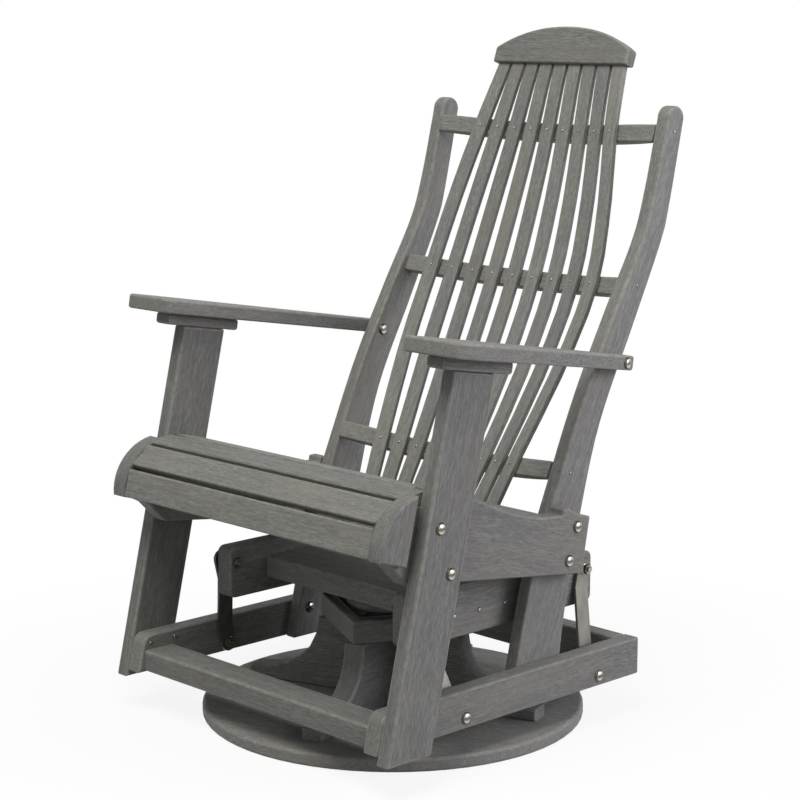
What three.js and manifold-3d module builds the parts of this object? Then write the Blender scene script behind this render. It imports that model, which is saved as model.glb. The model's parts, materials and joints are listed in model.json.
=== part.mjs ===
// An outdoor swivel glider armchair of grey lumber. The chair hangs on four flat steel links from a short
// frame that turns on a round pedestal base. Millimetres, +Z up, the sitter faces -Y and has +X on the
// left. The origin is the middle of the floor disc's underside.

import * as THREE from "three";
import { mergeVertices } from "three/addons/utils/BufferGeometryUtils.js";
import Module from "manifold-3d";

const wasm = await Module();
wasm.setup();

const { degToRad } = THREE.MathUtils;

// Fits and small edges
const fit = 0.3;
const overrun = 5;
const edge = 2.5;
const curveSteps = 6;
const legSteps = 5;
const crestSteps = 10;
const roundSteps = 12;
const nutSides = 6;

// Pedestal base
const disc = { radius: 320, thick: 23.5, edge: 4, steps: 64 };
const crossBoard = { turn: 18, half: 272, headHalf: 134, thick: 38, height: 122.5, toe: 20 };
const coveShares = { out: 0.043, up: 0.063 };
const topBoard = { side: 196, thick: 38 };
const swivelPlate = { side: 168, thick: 4, raceInner: 58, raceOuter: 78, gap: 19.5, raceSteps: 24 };

// Swivel frame
const swivelRail = { inner: 194, thick: 35, height: 87, drop: 24, front: -190, back: 240, nose: 12 };
const swivelBoard = { thick: 38, frontEdge: -111, frontDepth: 110, rearEdge: 2, rearDepth: 110 };

// Links and their pivots
const pivot = { front: -176, back: 214, height: 248.5, radius: 5 };
const link = { length: 165.7, splay: 13.6, width: 31, thick: 5, inner: 232, outset: 32, flat: 32 };
const washer = { radius: 10, thick: 1.7 };
const nut = { radius: 9, thick: 7, thread: 3 };
const carriageHead = { radius: 10, height: 4 };
const domeShares = [
  [0, 1],
  [0.6, 0.8],
  [1, 0.25],
  [1, 0],
  [0, 0],
];
const rearBolt = { play: 1.6, back: 1.1 };

// Chair frame
const backHalf = 247;
const backLeg = { thick: 25, front: -2, bottom: 69.5, reach: 407, rise: 939 };
const rail = { thick: 32, height: 62, back: 277, nose: 16 };
const frontRail = { setBack: 12, depth: 60, lift: 2, height: 36 };
const rearRail = { depth: 32 };
const frontLeg = { thick: 26, foot: -328.8, bottom: 57.5, width: 91.4, slope: 0.2345 };

// Arms
const arm = { front: -250, length: 510, top: 692.5, tilt: 9.5, thick: 24, outer: 388, rearOuter: 306 };
const armShape = { corner: 18, rearCorner: 12, straight: 60 };
const armBlock = { front: 31, length: 151, thick: 19, outer: 338 };

// Seat
const roll = { middle: -243, height: 374.5, depth: 92, rise: 84.5, low: 5 };
const seatSlat = { thick: 18, draft: 4, width: 51, pitch: 60 };

// Turns round the roll at the edges of its slats, as shares of a right angle
const rollShares = [
  [-0.0378, 0.3311],
  [0.3889, 0.7289],
  [0.7844, 1.1333],
];
const scoop = { start: -217, reach: 299, drop: 87.5 };
const scoopShares = [
  [0, 1],
  [0.167, 0.868],
  [0.348, 0.634],
  [0.512, 0.394],
  [0.642, 0.223],
  [0.819, 0.063],
  [1, 0],
];
const seatSide = { length: 465.7, bottom: 266.5, height: 192.5 };
const seatSideTailShares = [
  [0.022, 0.592],
  [0.236, 0.592],
  [0.534, 0.53],
  [1, 0.483],
  [0.848, 0.213],
  [0.79, 0],
  [0.513, 0.016],
];
const seatSideFrontShares = [
  [0.114, 0.28],
  [0.039, 0.462],
];
const seatCap = { thick: 18, lip: 12, legGap: 22, drop: 16 };

// Back
const back = { foot: 80, bottom: 355.5, reach: 321, rise: 714, spread: 185.8, lean: 19.5 };
const backPathShares = [
  [0.764, 0, 0],
  [0.826, 0.119, 0.102],
  [0.965, 0.392, 0.325],
  [1, 0.602, 0.506],
  [0.929, 0.735, 0.671],
  [0.801, 0.866, 0.849],
  [0.707, 1, 1],
];
const backSlat = { count: 9, width: 27, thick: 10, steps: 16, edge: 1.5 };
const bow = { depth: 48.3, steps: 14 };
const bowShares = [0.607, 1, 0.785, 0.478, 0.6, 0.718, 0];
const bowPower = 2.25;
const crossSlat = { height: 31, depth: 20, fit: 1.3 };
const crossSlatShares = [0.1667, 0.5, 0.8333];
const crest = { half: 153, end: 25, rise: 66, thick: 24, wall: 8, groove: 10, ease: 5 };
const crestShares = { bend: 0.56, corner: 0.6 };

// Outlines of the back legs, as shares of their reach and rise
const backLegFrontShares = [
  [0, 0],
  [0.12, 0.216],
  [0.275, 0.381],
  [0.418, 0.516],
  [0.592, 0.651],
  [0.752, 0.768],
  [0.823, 0.852],
  [0.896, 0.975],
];
const backLegRearShares = [
  [1, 0.975],
  [0.92, 0.824],
  [0.87, 0.76],
  [0.708, 0.622],
  [0.516, 0.462],
  [0.405, 0.309],
  [0.319, 0.144],
  [0.27, 0],
];

// Levels and widths that follow from the sizes above
const discTop = disc.thick;
const crossTop = discTop + crossBoard.height;
const topBoardTop = crossTop + topBoard.thick;
const lowerPlateTop = topBoardTop + swivelPlate.thick;
const upperPlateBottom = lowerPlateTop + swivelPlate.gap;
const swivelFloor = upperPlateBottom + swivelPlate.thick;
const swivelRailOuter = swivelRail.inner + swivelRail.thick;
const railInner = backHalf + backLeg.thick;
const railOuter = railInner + rail.thick;
const linkRun = link.length * Math.sin(degToRad(link.splay));
const linkDrop = link.length * Math.cos(degToRad(link.splay));
const lowPivot = {
  front: pivot.front + linkRun,
  back: pivot.back - linkRun,
  height: pivot.height - linkDrop,
};
const railTop = backLeg.bottom + rail.height;

const steelLook = { color: 0x9b9c9a, roughness: 0.35, metalness: 0.9 };
const lumberLook = { color: 0x73756f, roughness: 0.8, metalness: 0 };

const chair = new THREE.Group();

// Adds one named mesh to a parent group
function add(parent, name, geometry, look = lumberLook) {
  const mesh = new THREE.Mesh(geometry, new THREE.MeshStandardMaterial(look));
  mesh.name = name;
  parent.add(mesh);
  return mesh;
}

// A closed geometry as a solid that can be joined and cut
function solidOf(geometry) {
  const bare = geometry.index ? geometry.toNonIndexed() : geometry.clone();
  bare.deleteAttribute("normal");
  bare.deleteAttribute("uv");
  const merged = mergeVertices(bare);
  return new wasm.Manifold(
    new wasm.Mesh({
      numProp: 3,
      vertProperties: merged.attributes.position.array,
      triVerts: new Uint32Array(merged.index.array),
    }),
  );
}

function geometryOf(solid) {
  const { vertProperties, triVerts } = solid.getMesh();
  const geometry = new THREE.BufferGeometry();
  geometry.setAttribute("position", new THREE.BufferAttribute(vertProperties, 3));
  geometry.setIndex(new THREE.BufferAttribute(triVerts, 1));
  geometry.computeVertexNormals();
  return geometry;
}

function joined(...geometries) {
  return geometryOf(geometries.map(solidOf).reduce((sum, next) => sum.add(next)));
}

function cut(geometry, ...cutters) {
  return geometryOf(cutters.map(solidOf).reduce((rest, next) => rest.subtract(next), solidOf(geometry)));
}

// A closed outline through points, each given as a pair
function outline(points) {
  return new THREE.Shape(points.map(([a, b]) => new THREE.Vector2(a, b)));
}

// The corners of a closed outline cut back, for the eased long edges of a beam
function eased(points, size) {
  return points.flatMap((point, i) => {
    const before = points[(i + points.length - 1) % points.length];
    const after = points[(i + 1) % points.length];
    return [toward(point, before, size), toward(point, after, size)];
  });
}

function toward([a, b], [c, d], distance) {
  const share = distance / Math.hypot(c - a, d - b);
  return [a + (c - a) * share, b + (d - b) * share];
}

// A flat board: its outline extruded upwards, with eased edges inside its size
function board(shape, thick, ease = edge, steps = curveSteps) {
  return new THREE.ExtrudeGeometry(shape, {
    depth: thick - 2 * ease,
    bevelThickness: ease,
    bevelSize: ease,
    bevelOffset: -ease,
    bevelSegments: 1,
    curveSegments: steps,
  }).translate(0, 0, ease);
}

// An outline drawn in Y and Z, extruded along X from a start
function acrossX(shape, start, thick, ease = edge, steps = curveSteps) {
  const turn = new THREE.Matrix4().makeBasis(
    new THREE.Vector3(0, 1, 0),
    new THREE.Vector3(0, 0, 1),
    new THREE.Vector3(1, 0, 0),
  );
  return board(shape, thick, ease, steps).applyMatrix4(turn).translate(start, 0, 0);
}

// A beam that runs across the chair, between plus and minus its half length
function beam(points, half) {
  return acrossX(outline(eased(points, edge)), -half, 2 * half, 0);
}

function rectangle(y, z, depth, height) {
  return [
    [y, z],
    [y + depth, z],
    [y + depth, z + height],
    [y, z + height],
  ];
}

// A cylinder along X from one place to another
function rod(radius, from, to, y, z, steps = roundSteps) {
  const length = to - from;
  return new THREE.CylinderGeometry(radius, radius, length, steps)
    .rotateZ(Math.PI / 2)
    .translate((from + to) / 2, y, z);
}

// A low dome on an X axis, from its flat face outwards
function dome(radius, height, x, y, z) {
  const profile = domeShares.map(([out, up]) => new THREE.Vector2(out * radius, up * height));
  return new THREE.LatheGeometry(profile.reverse(), roundSteps).rotateZ(-Math.PI / 2).translate(x, y, z);
}

// Runs a maker for the left side at +X and for the right side at -X
function bothSides(make) {
  make("left", 1);
  make("right", -1);
}

// The low end of a span on one side, for a piece between an inner face and its thickness
function spanStart(side, inner, thick) {
  return side > 0 ? inner : -inner - thick;
}

function mirrored(geometry, side) {
  if (side > 0) return geometry;
  return geometryOf(solidOf(geometry).mirror([1, 0, 0]));
}

// Floor disc
function addDisc() {
  const profile = [
    [0, 0],
    [disc.radius - disc.edge, 0],
    [disc.radius, disc.edge],
    [disc.radius, disc.thick - disc.edge],
    [disc.radius - disc.edge, disc.thick],
    [0, disc.thick],
  ].map(([r, z]) => new THREE.Vector2(r, z));
  add(chair, "floor_disc", new THREE.LatheGeometry(profile, disc.steps).rotateX(Math.PI / 2));
}

// One cross board with coved ends and its half of the lap joint
function crossBoardShape(lapFromTop) {
  const coveOut = crossBoard.headHalf + (crossBoard.half - crossBoard.headHalf) * coveShares.out;
  const coveUp = crossBoard.toe + (crossBoard.height - crossBoard.toe) * coveShares.up;
  const lapHalf = crossBoard.thick / 2 + fit;
  const lapMiddle = crossBoard.height / 2;
  const shape = new THREE.Shape();
  shape.moveTo(-crossBoard.half, 0);
  if (!lapFromTop) {
    shape.lineTo(-lapHalf, 0);
    shape.lineTo(-lapHalf, lapMiddle + fit);
    shape.lineTo(lapHalf, lapMiddle + fit);
    shape.lineTo(lapHalf, 0);
  }
  shape.lineTo(crossBoard.half, 0);
  shape.lineTo(crossBoard.half, crossBoard.toe);
  shape.quadraticCurveTo(coveOut, coveUp, crossBoard.headHalf, crossBoard.height);
  if (lapFromTop) {
    shape.lineTo(lapHalf, crossBoard.height);
    shape.lineTo(lapHalf, lapMiddle);
    shape.lineTo(-lapHalf, lapMiddle);
    shape.lineTo(-lapHalf, crossBoard.height);
  }
  shape.lineTo(-crossBoard.headHalf, crossBoard.height);
  shape.quadraticCurveTo(-coveOut, coveUp, -crossBoard.half, crossBoard.toe);
  return shape;
}

function addPedestal() {
  const stand = new THREE.Group();
  stand.position.z = discTop;
  stand.rotation.z = degToRad(crossBoard.turn);
  chair.add(stand);
  ["a", "b"].forEach((letter, i) => {
    const upright = board(crossBoardShape(i === 0), crossBoard.thick)
      .rotateX(Math.PI / 2)
      .translate(0, crossBoard.thick / 2, 0)
      .rotateZ((-i * Math.PI) / 2);
    add(stand, `cross_board_${letter}`, upright);
  });
  const half = topBoard.side / 2;
  const top = board(outline(rectangle(-half, -half, topBoard.side, topBoard.side)), topBoard.thick);
  add(stand, "pedestal_top_board", top.rotateZ(Math.PI / 4).translate(0, 0, crossBoard.height));
}

// A square swivel plate with its bearing race, drawn with the plate below the race
function swivelPlateSolid() {
  const half = swivelPlate.side / 2;
  const plate = board(
    outline(rectangle(-half, -half, swivelPlate.side, swivelPlate.side)),
    swivelPlate.thick,
    0,
  );
  const raceTop = swivelPlate.thick + (swivelPlate.gap - fit) / 2;
  const race = new THREE.LatheGeometry(
    [
      [swivelPlate.raceInner, swivelPlate.thick / 2],
      [swivelPlate.raceOuter, swivelPlate.thick / 2],
      [swivelPlate.raceOuter, raceTop],
      [swivelPlate.raceInner, raceTop],
      [swivelPlate.raceInner, swivelPlate.thick / 2],
    ].map(([r, z]) => new THREE.Vector2(r, z)),
    swivelPlate.raceSteps,
  ).rotateX(Math.PI / 2);
  return joined(plate, race);
}

function addSwivelPlates() {
  const lower = add(chair, "lower_swivel_plate", swivelPlateSolid(), steelLook);
  lower.position.z = topBoardTop;
  lower.rotation.z = degToRad(crossBoard.turn) + Math.PI / 4;
  const upper = add(chair, "upper_swivel_plate", swivelPlateSolid(), steelLook);
  upper.position.z = swivelFloor;
  upper.rotation.x = Math.PI;
}

// Side rails of the swivel frame, with round-nosed ends and holes for the upper pivots
function addSwivelFrame() {
  const bottom = swivelFloor - swivelRail.drop;
  const { front, back: rear, nose, height } = swivelRail;
  const shape = new THREE.Shape();
  shape.moveTo(front + nose, bottom);
  shape.lineTo(rear - nose, bottom);
  shape.absarc(rear - nose, bottom + nose, nose, -Math.PI / 2, 0);
  shape.lineTo(rear, bottom + height - nose);
  shape.absarc(rear - nose, bottom + height - nose, nose, 0, Math.PI / 2);
  shape.lineTo(front + nose, bottom + height);
  shape.absarc(front + nose, bottom + height - nose, nose, Math.PI / 2, Math.PI);
  shape.lineTo(front, bottom + nose);
  shape.absarc(front + nose, bottom + nose, nose, Math.PI, 1.5 * Math.PI);
  bothSides((word, side) => {
    const start = spanStart(side, swivelRail.inner, swivelRail.thick);
    const holes = [pivot.front, pivot.back].map((y) =>
      rod(pivot.radius + fit, start - overrun, start + swivelRail.thick + overrun, y, pivot.height),
    );
    add(chair, `swivel_rail_${word}`, cut(acrossX(shape, start, swivelRail.thick), ...holes));
  });
  const { thick, frontEdge, frontDepth, rearEdge, rearDepth } = swivelBoard;
  const frontBoard = beam(rectangle(frontEdge, swivelFloor, frontDepth, thick), swivelRail.inner);
  const rearBoard = beam(rectangle(rearEdge, swivelFloor, rearDepth, thick), swivelRail.inner);
  add(chair, "swivel_cross_board_front", frontBoard);
  add(chair, "swivel_cross_board_rear", rearBoard);
}

// The upper pivot bolts hold the links outside the swivel rails
function addUpperPivots() {
  const places = { front: pivot.front, rear: pivot.back };
  for (const [place, y] of Object.entries(places))
    bothSides((word, side) => {
      const z = pivot.height;
      const linkOuter = link.inner + link.thick;
      const nutInner = linkOuter + fit + washer.thick;
      const tip = nutInner + nut.thick + nut.thread;
      const bolt = joined(
        rod(pivot.radius, swivelRail.inner - nut.thick - nut.thread, tip, y, z),
        rod(nut.radius, swivelRail.inner - nut.thick, swivelRail.inner, y, z, nutSides),
        rod(washer.radius, swivelRailOuter, link.inner - fit, y, z),
        rod(washer.radius, linkOuter + fit, nutInner + fit, y, z),
        rod(nut.radius, nutInner, nutInner + nut.thick, y, z, nutSides),
      );
      add(chair, `upper_pivot_${place}_${word}`, mirrored(bolt, side), steelLook);
    });
}

// A flat bar, cranked outwards, drawn down from its upper eye at the origin
function linkBar(solidLowEye) {
  const round = link.width / 2;
  const inner = link.inner;
  const outer = inner + link.thick;
  const low = -link.length;
  const strip = outline([
    [inner, round],
    [inner, -link.flat],
    [inner + link.outset, low + link.flat],
    [inner + link.outset, low - round],
    [outer + link.outset, low - round],
    [outer + link.outset, low + link.flat],
    [outer, -link.flat],
    [outer, round],
  ]);
  const ribbon = board(strip, link.width, 0).rotateX(Math.PI / 2).translate(0, round, 0);
  const face = new THREE.Shape();
  face.moveTo(round, 0);
  face.absarc(0, 0, round, 0, Math.PI);
  face.lineTo(-round, low);
  face.absarc(0, low, round, Math.PI, 2 * Math.PI);
  face.lineTo(round, 0);
  const span = link.thick + link.outset + 2 * overrun;
  const blank = acrossX(face, inner - overrun, span, 0);
  const bar = geometryOf(solidOf(ribbon).intersect(solidOf(blank)));
  const eye = rod(pivot.radius + fit, inner - overrun, outer + overrun, 0, 0);
  if (solidLowEye) return cut(bar, eye);
  const lowEye = rod(pivot.radius + fit, inner, outer + link.outset + overrun, 0, low);
  return cut(bar, eye, lowEye);
}

// A lower pivot bolt from its nut, inside the link, to its carriage head outside the rail
function lowerBolt(y, z, headGap, spacerGap) {
  const eyeInner = link.inner + link.outset;
  const eyeOuter = eyeInner + link.thick;
  const nutOuter = eyeInner - fit - washer.thick;
  const headBase = railOuter + headGap;
  return [
    rod(pivot.radius, nutOuter - nut.thick - nut.thread, headBase + carriageHead.height / 2, y, z),
    rod(nut.radius, nutOuter - nut.thick, nutOuter, y, z, nutSides),
    rod(washer.radius, nutOuter - fit, eyeInner - fit, y, z),
    rod(washer.radius, eyeOuter + fit - spacerGap, railInner - spacerGap, y, z),
    dome(carriageHead.radius, carriageHead.height, headBase, y, z),
  ];
}

function addLinks() {
  bothSides((word, side) => {
    const frontLink = add(chair, `front_link_${word}`, mirrored(linkBar(false), side), steelLook);
    frontLink.position.set(0, pivot.front, pivot.height);
    frontLink.rotation.x = degToRad(link.splay);
    const eye = rod(pivot.radius, link.inner + link.outset - 2 * fit, railInner - fit, 0, -link.length);
    const rearSolid = joined(linkBar(true), eye, ...lowerBolt(0, -link.length, fit, fit));
    const rearLink = add(chair, `rear_link_${word}`, mirrored(rearSolid, side), steelLook);
    rearLink.position.set(0, pivot.back, pivot.height);
    rearLink.rotation.x = -degToRad(link.splay);
    const frontBolt = joined(...lowerBolt(lowPivot.front, lowPivot.height, 0, 0));
    add(chair, `lower_pivot_${word}`, mirrored(frontBolt, side), steelLook);
  });
}

// The chair's lower frame. The front ends of its rails follow the slant of the front legs.
function legFrontAt(z) {
  return frontLeg.foot + (z - frontLeg.bottom) * frontLeg.slope;
}

function addLowerFrame() {
  const bottom = backLeg.bottom;
  const side = new THREE.Shape();
  side.moveTo(legFrontAt(bottom), bottom);
  side.lineTo(rail.back, bottom);
  side.lineTo(rail.back, railTop);
  side.lineTo(legFrontAt(railTop) + rail.nose, railTop);
  side.quadraticCurveTo(
    legFrontAt(railTop),
    railTop,
    legFrontAt(railTop - rail.nose),
    railTop - rail.nose,
  );
  bothSides((word, sign) => {
    const start = spanStart(sign, railInner, rail.thick);
    const past = start + rail.thick + overrun;
    const looseRadius = pivot.radius + fit + rearBolt.play;
    const rearY = lowPivot.back + rearBolt.back;
    const holes = [
      rod(pivot.radius + fit, start - overrun, past, lowPivot.front, lowPivot.height),
      rod(looseRadius, start - overrun, past, rearY, lowPivot.height),
    ];
    add(chair, `lower_rail_${word}`, cut(acrossX(side, start, rail.thick), ...holes));
  });
  const frontFace = legFrontAt(bottom) + frontRail.setBack;
  const frontBar = rectangle(frontFace, bottom + frontRail.lift, frontRail.depth, frontRail.height);
  add(chair, "front_cross_rail", beam(frontBar, railInner));
  const rearBar = rectangle(rail.back - rearRail.depth, bottom, rearRail.depth, rail.height);
  add(chair, "rear_cross_rail", beam(rearBar, railInner));
}

// Height of the arm's underside, or of a plane further below it, at a place along Y
function underArm(y, below = 0) {
  const slope = degToRad(arm.tilt);
  return arm.top - (arm.thick + below) / Math.cos(slope) - (y - arm.front) * Math.tan(slope);
}

// The height at which a slanted line meets the tops of the front legs
function legTopAt(footY) {
  const below = armBlock.thick + 2 * fit;
  const slope = Math.tan(degToRad(arm.tilt));
  const levelAtFoot = underArm(footY, below);
  return frontLeg.bottom + (levelAtFoot - frontLeg.bottom) / (1 + slope * frontLeg.slope);
}

function addFrontLegs() {
  const rearFoot = frontLeg.foot + frontLeg.width;
  const frontTop = legTopAt(frontLeg.foot);
  const rearTop = legTopAt(rearFoot);
  const shape = outline([
    [frontLeg.foot, frontLeg.bottom],
    [rearFoot, frontLeg.bottom],
    [legFrontAt(rearTop) + frontLeg.width, rearTop],
    [legFrontAt(frontTop), frontTop],
  ]);
  bothSides((word, side) => {
    const start = spanStart(side, railOuter, frontLeg.thick);
    add(chair, `front_leg_${word}`, acrossX(shape, start, frontLeg.thick));
  });
}

// The back legs run in one S curve from the lower rails to the top of the back
function addBackLegs() {
  const place = ([y, z]) =>
    new THREE.Vector2(backLeg.front + y * backLeg.reach, backLeg.bottom + z * backLeg.rise);
  const front = backLegFrontShares.map(place);
  const rear = backLegRearShares.map(place);
  const topLeft = front[front.length - 1];
  const topRight = rear[0];
  const crown = new THREE.Vector2().addVectors(topLeft, topRight).multiplyScalar(0.5);
  const radius = topLeft.distanceTo(topRight) / 2;
  const startTurn = Math.atan2(topLeft.y - crown.y, topLeft.x - crown.x);
  const shape = new THREE.Shape();
  shape.moveTo(front[0].x, front[0].y);
  shape.splineThru(front.slice(1));
  shape.absarc(crown.x, crown.y, radius, startTurn, startTurn - Math.PI, true);
  shape.splineThru(rear.slice(1));
  bothSides((word, side) => {
    const start = spanStart(side, backHalf, backLeg.thick);
    add(chair, `back_leg_${word}`, acrossX(shape, start, backLeg.thick, edge, legSteps));
  });
}

// A point on the seat's rolled front. Past its top the roll runs level.
function rollPoint(share) {
  const turn = (share * Math.PI) / 2;
  return [
    roll.middle - roll.depth * Math.cos(turn),
    roll.height + roll.rise * Math.sin(Math.min(turn, Math.PI / 2)),
  ];
}

// The line behind a slat whose outer face runs from one point to the next
function inside([a, b], [c, d], depth) {
  const length = Math.hypot(c - a, d - b);
  const [inY, inZ] = [((d - b) / length) * depth, (-(c - a) / length) * depth];
  return [
    [a + inY, b + inZ],
    [c + inY, d + inZ],
  ];
}

function slatSection(from, to) {
  const [innerFrom, innerTo] = inside(from, to, seatSlat.thick);
  return [
    from,
    toward(innerFrom, innerTo, seatSlat.draft),
    toward(innerTo, innerFrom, seatSlat.draft),
    to,
  ];
}

function crossing([[a, b], [c, d]], [[e, f], [g, h]]) {
  const share = ((e - a) * (h - f) - (f - b) * (g - e)) / ((c - a) * (h - f) - (d - b) * (g - e));
  return [a + (c - a) * share, b + (d - b) * share];
}

const rollFaces = rollShares.map(([from, to]) => [rollPoint(from), rollPoint(to)]);
const rollBeds = rollFaces.map(([from, to]) => inside(from, to, seatSlat.thick + fit));
const scoopTop = roll.height + roll.rise;
const scoopPoints = scoopShares.map(
  ([y, z]) => new THREE.Vector2(scoop.start + y * scoop.reach, scoopTop - (1 - z) * scoop.drop),
);
const scoopCurve = new THREE.SplineCurve(scoopPoints);

// The upper edge of a seat side board, under the rolled slats
const rollEdge = [
  rollBeds[0][0],
  crossing(rollBeds[0], rollBeds[1]),
  crossing(rollBeds[1], rollBeds[2]),
  crossing(rollBeds[2], [
    [scoop.start, 0],
    [scoop.start, scoopTop],
  ]),
];

// The rolled slats lie on the side boards' edges, and the others between the side boards. The last
// rolled slat is notched round the caps.
function addSeatSlats() {
  const caps = [1, -1].map((side) => mirrored(seatCapGeometry(), side));
  rollFaces.forEach(([from, to], i) => {
    const section = slatSection(from, to).reverse();
    const last = i === rollFaces.length - 1;
    const half = last ? railOuter : railOuter - seatCap.lip;
    const slat = beam(section, half - fit);
    add(chair, `seat_slat_${i + 1}`, last ? cut(slat, ...caps) : slat);
  });
  const scoopLength = scoopCurve.getLength();
  const scoopCount = Math.floor((scoopLength - seatSlat.width) / seatSlat.pitch) + 1;
  for (let i = 0; i < scoopCount; i += 1) {
    const [from, to] = [i * seatSlat.pitch, i * seatSlat.pitch + seatSlat.width].map((reach) =>
      scoopCurve.getPointAt(reach / scoopLength).toArray(),
    );
    const slat = beam(slatSection(from, to).reverse(), railInner - fit);
    add(chair, `seat_slat_${rollFaces.length + i + 1}`, slat);
  }
}

// The seat's side boards carry the rolled slats on their edges and the scooped slats between them
function addSeatSides() {
  const front = rollEdge[0];
  const scoopEnd = scoop.start + scoop.reach;
  const rear = front[0] + seatSide.length;
  const between = (from, to) => ([y, z]) => [from + y * (to - from), seatSide.bottom + z * seatSide.height];
  const shape = outline([
    ...rollEdge,
    ...scoopCurve.getPoints(2 * scoopShares.length).map((point) => point.toArray()),
    ...seatSideTailShares.map(between(scoopEnd, rear)),
    ...seatSideFrontShares.map(between(front[0], rear)),
  ]);
  bothSides((word, side) => {
    add(chair, `seat_side_${word}`, acrossX(shape, spanStart(side, railInner, rail.thick), rail.thick));
  });
}

// A rounded cap in front of the leg. Its lip lies on the side board's edge and closes the slats' ends.
function seatCapGeometry() {
  const bottom = roll.height - roll.low;
  const rearLine = (z) => legFrontAt(z) - seatCap.legGap;
  const lowTurn = Math.asin(-roll.low / roll.rise);
  const nose = roll.middle - roll.depth * Math.cos(lowTurn);
  const heel = bottom - seatCap.drop;
  const topShare = (rearLine(roll.height + roll.rise) - roll.middle) / roll.depth;
  const highTurn = Math.acos(-topShare);
  const shape = new THREE.Shape();
  shape.moveTo(rearLine(heel), heel);
  shape.lineTo(nose, bottom);
  shape.absellipse(
    roll.middle,
    roll.height,
    roll.depth,
    roll.rise,
    Math.PI - lowTurn,
    Math.PI - highTurn,
    true,
  );
  const start = railOuter - seatCap.lip;
  const blank = acrossX(shape, start, seatCap.lip + seatCap.thick);
  const [front, low] = [nose - overrun, heel - overrun];
  const sideBoard = outline([
    [front, rollEdge[0][1]],
    ...rollEdge,
    [scoop.start, low],
    [front, low],
  ]);
  return cut(blank, acrossX(sideBoard, start - overrun, seatCap.lip + overrun, 0));
}

function addSeatCaps() {
  bothSides((word, side) => {
    add(chair, `seat_cap_${word}`, mirrored(seatCapGeometry(), side));
  });
}

// The path of the outermost back slat's front face, from the seat to the crest
const backPath = new THREE.CatmullRomCurve3(
  backPathShares.map(
    ([x, y, z]) =>
      new THREE.Vector3(x * back.spread, back.foot + y * back.reach, back.bottom + z * back.rise),
  ),
  false,
  "centripetal",
);

// Direction of the back in Y and Z at a share of the path, and the way backwards from its face
function backTurn(t) {
  const { y, z } = backPath.getTangent(t);
  return t >= 1 ? degToRad(back.lean) : Math.atan2(y, z);
}

// How deep the back is bowed at a share of its path
const bowCurve = new THREE.SplineCurve(bowShares.map((share, i) => new THREE.Vector2(i, share)));

function bowDepth(t) {
  return bow.depth * bowCurve.getPoint(t).y;
}

// How far behind the outermost slat's face the bowed back lies at x
function bowAt(x, outerX, t) {
  return bowDepth(t) * ((outerX / backHalf) ** bowPower - (Math.abs(x) / backHalf) ** bowPower);
}

// One face point and frame of a back slat, at a share of the path
function backStation(slatShare, t) {
  const outer = backPath.getPoint(t);
  const turn = backTurn(t);
  const x = outer.x * slatShare;
  const behind = bowAt(x, outer.x, t);
  const away = new THREE.Vector3(0, Math.cos(turn), -Math.sin(turn));
  const point = outer.clone().setX(x).addScaledVector(away, behind);
  const steepness = (Math.abs(x) / backHalf) ** (bowPower - 1);
  const slope = (-Math.sign(x) * bowPower * bowDepth(t) * steepness) / backHalf;
  const across = new THREE.Vector3(1, 0, 0).addScaledVector(away, slope).normalize();
  return { point, across, up: new THREE.Vector3(0, Math.sin(turn), Math.cos(turn)) };
}

// A bent back slat: one eased section carried along the bowed back, its top end in the crest's groove
function backSlatGeometry(slatShare) {
  const half = backSlat.width / 2;
  const section = eased(
    [
      [-half, 0],
      [half, 0],
      [half, backSlat.thick],
      [-half, backSlat.thick],
    ],
    backSlat.edge,
  );
  const stations = [];
  for (let i = 0; i <= backSlat.steps; i += 1) stations.push(backStation(slatShare, i / backSlat.steps));
  const end = stations[stations.length - 1];
  const top = end.point.clone().addScaledVector(end.up, crest.groove - fit);
  stations.push({ ...end, point: top });
  const corners = stations.flatMap(({ point, across }, i) => {
    const ahead = stations[Math.min(i + 1, stations.length - 2)].point;
    const behind = stations[Math.max(i - 1, 0)].point;
    const along = i === stations.length - 1 ? end.up : ahead.clone().sub(behind).normalize();
    const depth = new THREE.Vector3().crossVectors(along, across).normalize();
    const side = new THREE.Vector3().crossVectors(depth, along);
    if (i >= stations.length - 2) side.copy(end.across);
    if (i >= stations.length - 2) depth.crossVectors(end.up, end.across);
    return section.map(([a, b]) => point.clone().addScaledVector(side, a).addScaledVector(depth, b));
  });
  return loft(corners, section.length);
}

// Closes rings of points, all with the same count, into one solid
function loft(points, count) {
  const rings = points.length / count;
  const faces = [];
  for (let ring = 0; ring < rings - 1; ring += 1)
    for (let i = 0; i < count; i += 1) {
      const next = (i + 1) % count;
      const [a, b] = [ring * count + i, ring * count + next];
      faces.push(a, b, b + count, a, b + count, a + count);
    }
  const last = (rings - 1) * count;
  for (let i = 1; i < count - 1; i += 1) faces.push(0, i + 1, i, last, last + i, last + i + 1);
  const geometry = new THREE.BufferGeometry().setFromPoints(points);
  geometry.setIndex(faces);
  geometry.computeVertexNormals();
  return geometry;
}

function addBackSlats() {
  const outermost = (backSlat.count - 1) / 2;
  for (let i = 0; i < backSlat.count; i += 1)
    add(chair, `back_slat_${i + 1}`, backSlatGeometry((i - outermost) / outermost));
}

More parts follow.
